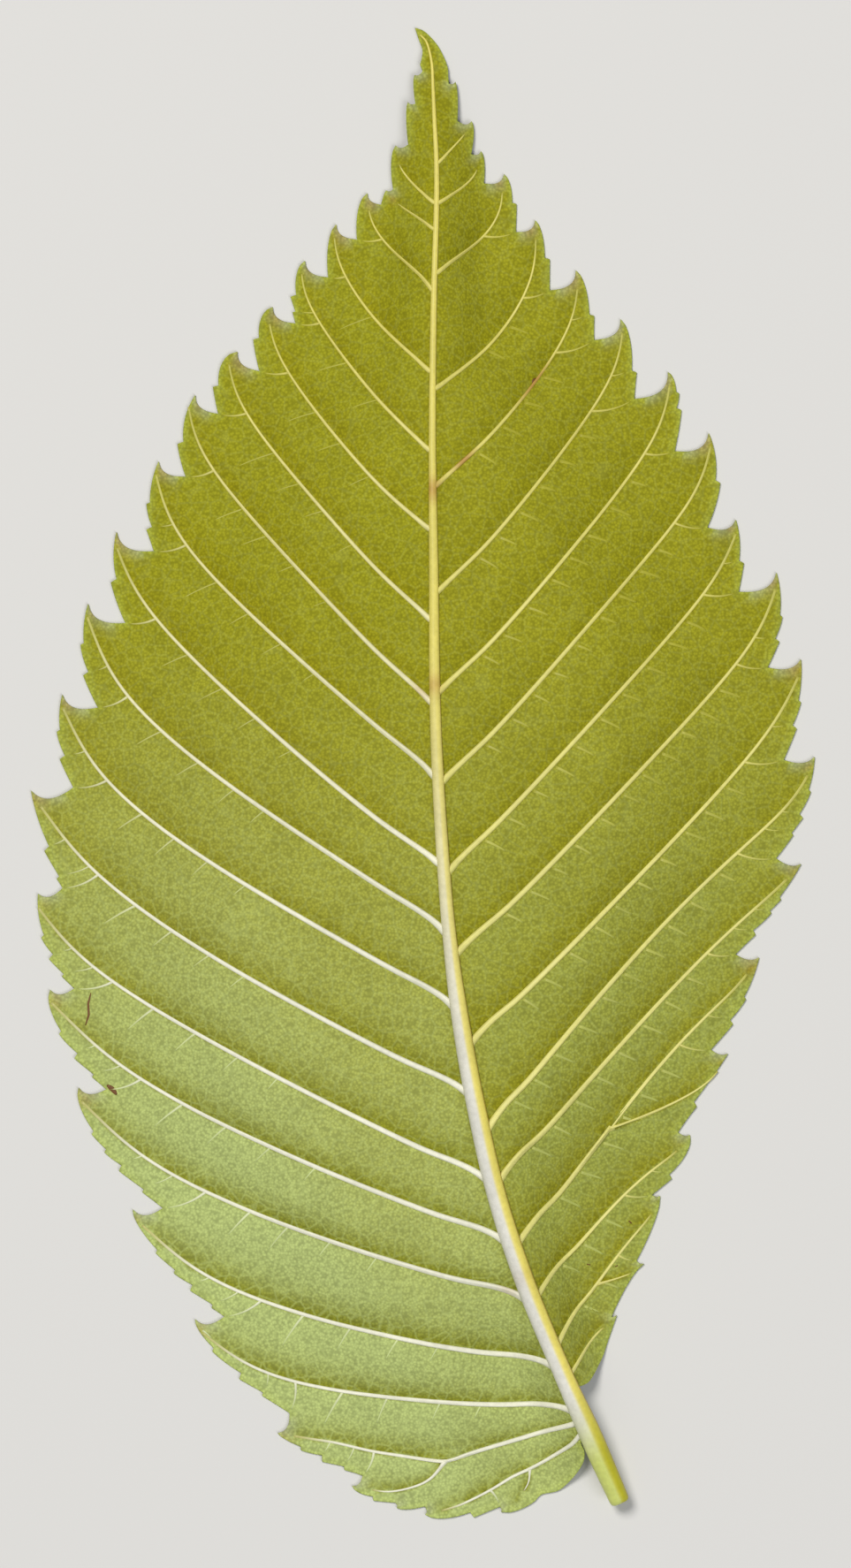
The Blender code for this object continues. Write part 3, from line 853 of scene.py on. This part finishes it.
def lay_out(sheet, total, rim_points, push, count):
    """Lays the two faces of the sheet side by side on the map that its patterns are put on."""
    mesh = sheet.data
    layer = mesh.uv_layers.new(name="OFBake")
    flat = np.array([tuple(vert.co[:2]) for vert in mesh.vertices]) / MM
    flat[2 * total :] = rim_points + push * 0.2
    low, high = flat.min(axis=0), flat.max(axis=0)
    size = 1.04 * max(high[1] - low[1], 2 * (high[0] - low[0]))
    corner = np.empty(len(mesh.loops), int)
    mesh.loops.foreach_get("vertex_index", corner)
    face_of = np.repeat(np.arange(len(mesh.polygons)), [len(p.vertices) for p in mesh.polygons])
    under = (face_of >= count) & (face_of < 2 * count)
    under |= (face_of >= 2 * count) & ((face_of - 2 * count) % 2 == 1)
    place = (flat[corner] - low) / size + 0.01
    place[under, 0] = 0.99 - (flat[corner][under, 0] - low[0]) / size
    layer.data.foreach_set("uv", place.ravel())


def build_ridges(name, ridges, material):
    """One mesh of ridges on the sheet, each given by its line, widths, heights and colours."""
    shares = [*SECTION[::-1], *[(-a, b, c) for a, b, c in SECTION[1:]]]
    ring = len(shares) + 1
    flat, lift, colours, faces = [], [], [], []
    start = 0
    for line, widths, heights, tints in ridges:
        normal = normals_of(line)
        rows = len(line)
        for across, up, sunk in shares:
            flat.append(line + normal * (widths * across)[:, None])
            lift.append(heights * up - sunk)
            colours.append(tints)
        flat.append(line)
        lift.append(np.full(rows, -RIDGE_ROOT))
        colours.append(tints)
        faces += tube_faces(ring, rows, start)
        start += ring * rows
    flat = np.vstack(flat)
    z = height(Place(flat)) + np.concatenate(lift)
    obj = make_object(name, world(*flat.T, z), faces, [material])
    add_colours(obj, np.vstack(colours))
    return obj


def vein_colours(line, side):
    """Cream low on the left half, golden on the right, yellower and thinner towards the apex."""
    low = smoothstep((34.0 - line[:, 1]) / 50.0)
    tint = mixed(VEIN_YELLOW, CREAM if side > 0 else VEIN_GOLD, low)
    return mixed(tint, RUST, 0.75 * near_any(line, RUSTY))


def add_vein(ridges, line, side, scale=1.0):
    length = np.hypot(*np.diff(line, axis=0).T).sum()
    stops_short = VEIN_STOPS_SHORT * min(1.0, 0.6 + length / 12.0)
    line = line[np.hypot(*(line - line[-1]).T) > stops_short]
    run = np.linspace(0, 1, len(line))
    size = scale * min(1.0, 0.6 + 0.4 * length / LONG_VEIN)
    size *= (0.84 + 0.16 * smoothstep((20.0 - line[0, 1]) / 45.0)) * min(1.0, 0.4 + length / 9.0)
    if side < 0:
        size *= RIGHT_VEINS_SIZE
    widths = size * (VEIN_HALF_WIDTH + (VEIN_HALF_WIDTH_END - VEIN_HALF_WIDTH) * run**0.9)
    heights = size * (VEIN_HEIGHT + (VEIN_HEIGHT_END - VEIN_HEIGHT) * run**0.9)
    # A vein broadens where it joins the midrib, and its last part fades into the blade.
    widths = widths * (1 + 0.5 * np.exp(-run * length / 0.8))
    fading = smoothstep((run - 0.82) / 0.18)
    heights = heights * (1 - 0.6 * fading)
    tint = mixed(vein_colours(line, side), VEIN_END, 0.85 * fading)
    ridges.append((line, widths, heights, tint))


def add_side_veins(material):
    ridges = []
    for veins, branches, side in HALVES:
        for path in veins.values():
            add_vein(ridges, path, side)
        for path in branches:
            add_vein(ridges, path, side, FORK_SIZE)
    return build_ridges("side_veins", ridges, material)


def short_curve(start, end, sag, side):
    start, end = np.array(start), np.array(end)
    along = end - start
    middle = (start + end) / 2 + turned(unit(along)) * side * 2 * sag * np.hypot(*along)
    t = np.linspace(0, 1, 9)[:, None]
    return resampled(start * (1 - t) ** 2 + middle * 2 * t * (1 - t) + end * t**2, PATH_STEP)


def rotated(vector, degrees):
    turn = math.radians(degrees)
    cos, sin = math.cos(turn), math.sin(turn)
    x, y = vector
    return np.array((x * cos - y * sin, x * sin + y * cos))


def branch_turn(y, side):
    """Degrees by which the branch to a sinus turns off the upper edge of the tooth below it."""
    high = smoothstep((y + 1.0) / 5.6)
    least, more = BRANCH_TURN[side]
    return least + more * high + BRANCH_TURN_LOWEST[side] * smoothstep((-16.0 - y) / 6.0)


def leaving_point(vein, target, inward):
    """The point of a vein that lies most nearly inward of the target."""
    off = vein - target
    gap = np.hypot(*off.T)
    agree = (off @ inward) / np.maximum(gap, 1e-9)
    return vein[agree.argmax()]


def add_small_veins(material):
    """Branches to the sinuses and small teeth, stubs towards the next vein, scorched flecks."""
    ridges = []
    random = np.random.default_rng(7)
    for teeth, veins, side in ((LEFT_TEETH, LEFT_VEINS, LEFT), (RIGHT_TEETH, RIGHT_VEINS, RIGHT)):
        for number, vein in veins.items():
            tip = np.array(teeth[number][:2])
            start = None
            if number + 1 < len(teeth) and np.hypot(*(vein[-1] - vein[0])) > BRANCHED_FROM:
                foot = sinus_of(teeth, number + 1, side)
                next_tip = np.array(teeth[number + 1][:2])
                inward = rotated(unit(foot - next_tip), branch_turn(foot[1], side) * side)
                start = leaving_point(vein, foot, inward)
                add_branch(ridges, start, foot, side, sag=0.08, half_width=0.10, top=0.07, faint=0.2)
                for share in teeth[number][5]:
                    cut = tip + (foot - tip) * share
                    root = leaving_point(vein, cut, inward)
                    if SHORTEST_BRANCH < np.hypot(*(cut - root)) < LONGEST_BRANCH:
                        end = cut + (root - cut) * BRANCH_ENDS
                        add_branch(
                            ridges, root, end, side, sag=0.05, half_width=0.07, top=0.04, faint=0.5
                        )
            after = np.hypot(*(start - vein[-1])) if start is not None else VEIN_STOPS_SHORT
            if side < 0 or number < LEFT_BASAL[0][0]:
                add_stubs(ridges, vein, after, side, random)
    for points, half_width in FLECKS:
        line = resampled(points, 0.2)
        run = np.linspace(-1, 1, len(line))
        tint = np.repeat(SCORCH[None], len(line), axis=0)
        widths = half_width * (1 - 0.6 * run**2)
        ridges.append((line, widths, np.full(len(line), FLECK_HEIGHT), tint))
    return build_ridges("small_veins", ridges, material)


def add_branch(ridges, start, end, side, sag, half_width, top, faint):
    """A small vein of this height at its start, faint there and fainter towards its end."""
    line = short_curve(start, end, sag, side)
    line = line[inside(line, OUTLINE[:, :2]) & (distances(MARGIN_TREE, line) > BRANCH_CLEAR)]
    if len(line) < 3:
        return
    run = np.linspace(0, 1, len(line))
    olive, pale = (OLIVE, PALE_GREEN) if side > 0 else (OLIVE_RIGHT, GREY_GREEN_RIGHT)
    low = smoothstep((14.0 - line[:, 1]) / 46.0)
    beside = mixed(olive, pale, low) * 1.12
    faint_there = (faint + (0.95 - faint) * run)[:, None]
    tint = vein_colours(line, side) * (1 - faint_there) + beside * faint_there
    ridges.append((line, half_width * (1 - 0.45 * run), top * (1 - 0.6 * run), tint))


def add_stubs(ridges, vein, after, side, random):
    """Short veins on a side vein's lower side, starting this far down it from its tooth.

    On the left they follow each other near the margin, each fainter than the last. On the right
    they are of uneven strength and go on to the midrib.
    """
    length = PATH_STEP * (len(vein) - 1)
    if length < STUBBED_FROM:
        return
    at = length - after - STUBS_START[side]
    fainter = 1.0
    while at > STUBS_END and fainter > FAINTEST_STUB:
        number = int(at / PATH_STEP)
        start = vein[number]
        way = unit(vein[number + 2] - vein[number - 2])
        aim = rotated(way, (66 + 10 * random.random()) * side)
        if side > 0:
            plain = fainter * (0.22 + 0.68 * smoothstep((10.0 - start[1]) / 20.0))
            long, half_width = STUB_LENGTH[side] * fainter**0.6, 0.06 + 0.04 * plain
            fainter *= STUB_FADE
        else:
            plain = 0.45 * random.random() * (0.45 + 0.55 * smoothstep((8.0 - start[1]) / 16.0))
            long, half_width = STUB_LENGTH[side], 0.12
            start = start + aim * 0.3
        end = start + aim * long * (0.85 + 0.3 * random.random())
        at -= STUBS_APART[side] * (0.85 + 0.3 * random.random())
        top, faint = 0.012 + 0.03 * plain, 0.95 - 0.5 * plain
        add_branch(ridges, start, end, side, -0.02, half_width, top, faint)


def add_midrib(material):
    """Midrib and stalk: a ridge on the sheet that rounds out into the stalk below it."""
    line = resampled(MIDRIB_LINE, PATH_STEP)
    end = line[-1] - (line[-1] - line[-2]) * np.array(((0.7,), (0.3,), (0.0,)))
    line = np.vstack((line[:-1], end))
    flat, thick = line[:, :2], line[:, 2]
    radius = thick / 2
    radius[-3:] *= (0.97, 0.90, 0.72)
    on_sheet = height(Place(flat))
    free = smoothstep((BLADE_ENDS + 2.0 - flat[:, 1]) / 3.0)
    free_height = arch(flat[:, 0], flat[:, 1]) + BLADE_TOP
    centre = on_sheet * (1 - free) + free_height * free
    depth = np.minimum(radius, SHEET + MIDRIB_BELOW) * (1 - free) + radius * free
    normal = normals_of(flat)
    ring = 24
    flats, heights, tints = [], [], []
    # Painted light: the left side carries a painted highlight, white low down and yellow high up, and
    # the right flank a golden tone as in shade.
    low = smoothstep((12.0 - flat[:, 1]) / 38.0)
    stalk = smoothstep((-44.0 - flat[:, 1]) / 7.0)
    highlight = mixed(MIDRIB_HIGHLIGHT_UP, MIDRIB_HIGHLIGHT_WHITE, low)
    highlight = mixed(highlight, STALK_HIGHLIGHT, stalk**2)
    shaded_flank = mixed(MIDRIB_SHADED_GOLD, STALK_SHADED_GREEN, stalk)
    rust = near_any(flat, RUSTY)
    for part in range(ring):
        angle = 2 * math.pi * part / ring
        side, up = math.cos(angle), math.sin(angle)
        flats.append(flat + normal * (radius * side)[:, None])
        heights.append(centre + (radius if up > 0 else depth) * up)
        # The line runs down the page, so its normal points to the right.
        share = smoothstep((side + 0.05) / 0.40)
        tint = mixed(highlight, shaded_flank, share * (0.45 + 0.55 * low))
        edge = smoothstep((side - 0.86) / 0.14) * 0.7
        tint = mixed(tint, MIDRIB_BROWN, edge * (1 - 0.5 * stalk))
        tint = mixed(tint, RUST, 0.6 * rust)
        upper_face = smoothstep(-2.0 * up) * (1 - free)
        tints.append(mixed(tint, FACE_VEIN, upper_face))
    places = world(*np.vstack(flats).T, np.concatenate(heights))
    faces = tube_faces(ring, len(flat), flipped=True)
    obj = make_object("midrib_and_stalk", places, faces, [material])
    add_colours(obj, np.vstack(tints))
    return obj


class Look:
    """A material, and the nodes that it is made of."""

    def __init__(self, name, roughness, specular):
        self.material = bpy.data.materials.new(name)
        self.material.use_nodes = True
        tree = self.material.node_tree
        self.nodes, self.links = tree.nodes, tree.links
        self.shader = self.nodes["Principled BSDF"].inputs
        self.shader["Roughness"].default_value = roughness
        self.shader["Specular IOR Level"].default_value = specular
        tint = self.nodes.new("ShaderNodeAttribute")
        tint.attribute_name = "Tint"
        self.tint = tint.outputs
        self.where = self.nodes.new("ShaderNodeTexCoord").outputs["Object"]

    def add(self, kind, result, inputs, **settings):
        """The result of a new node; its inputs are values or other nodes' results."""
        node = self.nodes.new("ShaderNode" + kind)
        for name, value in settings.items():
            setattr(node, name, value)
        for name, value in inputs.items():
            if isinstance(value, bpy.types.NodeSocket):
                self.links.new(value, node.inputs[name])
            else:
                node.inputs[name].default_value = value
        return node.outputs[result]

    def feed(self, name, value):
        self.links.new(value, self.shader[name])

    def scaled(self, value, low, high, to_low, to_high):
        """A value mapped from one range to another."""
        inputs = {"From Min": low, "From Max": high, "To Min": to_low, "To Max": to_high}
        return self.add("MapRange", "Result", {**inputs, "Value": value})

    def noise(self, size, detail):
        inputs = {"Scale": 1 / (size * MM), "Detail": detail, "Vector": self.where}
        return self.add("TexNoise", "Fac", inputs)

    def cells(self, size, feature):
        inputs = {"Scale": 1 / (size * MM), "Vector": self.where}
        return self.add("TexVoronoi", "Distance", inputs, feature=feature)

    def times(self, one, other):
        return self.add("Math", "Value", {0: one, 1: other}, operation="MULTIPLY")

    def brightened(self, factor):
        """The piece's own colour, made lighter or darker."""
        inputs = {"Vector": self.tint["Color"], "Scale": factor}
        return self.add("VectorMath", "Vector", inputs, operation="SCALE")

    def bump(self, value, depth, strength):
        inputs = {"Distance": depth * MM, "Strength": strength, "Height": value}
        self.feed("Normal", self.add("Bump", "Normal", inputs))


def blade_material(name, roughness, specular, net_colour, grain_depth):
    """Leaf tissue: bumpy grain, a faint pale net of veinlets and slow changes of tone."""
    look = Look(name, roughness, specular)
    grain = look.cells(0.21, "F1")
    net = look.cells(0.95, "DISTANCE_TO_EDGE")
    fibres = look.noise(0.3, 2.0)
    slow = look.noise(2.6, 3.0)
    tone = look.times(
        look.scaled(grain, 0.0, 0.75, 1.20, 0.74), look.scaled(slow, 0.3, 0.7, 0.95, 1.05)
    )
    tone = look.times(tone, look.scaled(fibres, 0.3, 0.7, 0.94, 1.06))
    colour = look.brightened(tone)
    line = look.scaled(net, 0.0, 0.11, 0.30, 0.0)
    line = look.times(line, look.scaled(look.tint["Alpha"], 0, 1, 0.25, 1.0))
    inputs = {"Factor": line, "A": colour, "B": (*net_colour, 1.0)}
    look.feed("Base Color", look.add("Mix", "Result", inputs, data_type="RGBA"))
    look.feed("Roughness", look.scaled(grain, 0.0, 0.8, roughness - 0.06, roughness + 0.10))
    look.bump(grain, grain_depth, 0.6)
    return look.material


def vein_material(name, roughness):
    """Pale rib with fine lengthwise unevenness."""
    look = Look(name, roughness, 0.4)
    fine = look.noise(0.35, 2.0)
    slow = look.noise(3.0, 2.0)
    tone = look.times(
        look.scaled(fine, 0.3, 0.7, 0.93, 1.05), look.scaled(slow, 0.3, 0.7, 0.94, 1.04)
    )
    look.feed("Base Color", look.brightened(tone))
    look.feed("Roughness", look.scaled(fine, 0.3, 0.7, roughness - 0.05, roughness + 0.08))
    look.bump(fine, 0.03, 0.5)
    return look.material


def floor_material():
    material = bpy.data.materials.new("floor")
    material.use_nodes = True
    shader = material.node_tree.nodes["Principled BSDF"]
    shader.inputs["Base Color"].default_value = (0.72, 0.71, 0.69, 1.0)
    shader.inputs["Roughness"].default_value = 0.9
    return material


def add_floor():
    half, z = 0.6, -0.00003
    places = np.array([(-half, -half, z), (half, -half, z), (half, half, z), (-half, half, z)])
    floor = make_object("floor", places, [(0, 1, 2, 3)], [floor_material()])


def add_area_light(name, place, size, power, colour):
    data = bpy.data.lights.new(name, "AREA")
    data.shape = "DISK"
    data.size = size
    data.energy = power
    data.color = colour
    light = bpy.data.objects.new(name, data)
    bpy.context.scene.collection.objects.link(light)
    light.location = place
    light.rotation_euler = (-Vector(place)).to_track_quat("-Z", "Y").to_euler()


def add_lights():
    add_area_light("key", (-0.45, 0.55, 1.25), 0.55, 14.5, (1.0, 0.98, 0.94))
    add_area_light("fill", (0.75, -0.70, 1.20), 1.0, 9.0, (0.95, 0.97, 1.0))
    world_look = bpy.data.worlds.new("studio")
    bpy.context.scene.world = world_look
    world_look.use_nodes = True
    background = world_look.node_tree.nodes["Background"]
    background.inputs["Color"].default_value = (0.95, 0.97, 1.0, 1.0)
    background.inputs["Strength"].default_value = 0.20


def add_camera():
    """Straight above, up the page towards the apex, with the photograph's frame."""
    page_scale = LEAF_LENGTH / LEAF_PIXELS
    frame_height = PHOTO_HEIGHT * page_scale
    centre_x = (PHOTO_WIDTH / 2 - PHOTO_ORIGIN[0]) * page_scale
    centre_y = (PHOTO_ORIGIN[1] - PHOTO_HEIGHT / 2) * page_scale + SHIFT_Y
    away = 620.0
    sensor = 36.0
    data = bpy.data.cameras.new("camera")
    data.sensor_fit = "VERTICAL"
    data.sensor_height = sensor
    data.lens = sensor * away / frame_height
    data.clip_start = 0.01
    camera = bpy.data.objects.new("camera", data)
    bpy.context.scene.collection.objects.link(camera)
    camera.location = (centre_x * MM, centre_y * MM, away * MM)
    bpy.context.scene.camera = camera


def main():
    bpy.context.scene.view_settings.view_transform = "Standard"
    underside = blade_material("leaf_underside", 0.62, 0.08, PALE_GREEN * 1.25, 0.05)
    upper_face = blade_material("leaf_upper_face", 0.42, 0.45, FACE_VEIN, 0.03)
    rib = vein_material("rib", 0.45)
    small_rib = vein_material("small_rib", 0.5)
    sheet = add_sheet([underside, upper_face])
    midrib = add_midrib(rib)
    side_veins = add_side_veins(rib)
    small_veins = add_small_veins(small_rib)
    nodes = list(frame["nodes"])
    for piece, slot in (
        (sheet, "blade"), (midrib, "stalk"), (side_veins, "veins"), (small_veins, "veins")
    ):
        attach(piece, "root")
    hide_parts(*[node for node in nodes if node.startswith("blade")])
    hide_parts("stalk_and_midrib")
    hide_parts(*[node for node in nodes if node.startswith(("vein", "fork"))])
    add_floor()
    add_lights()
    add_camera()


main()
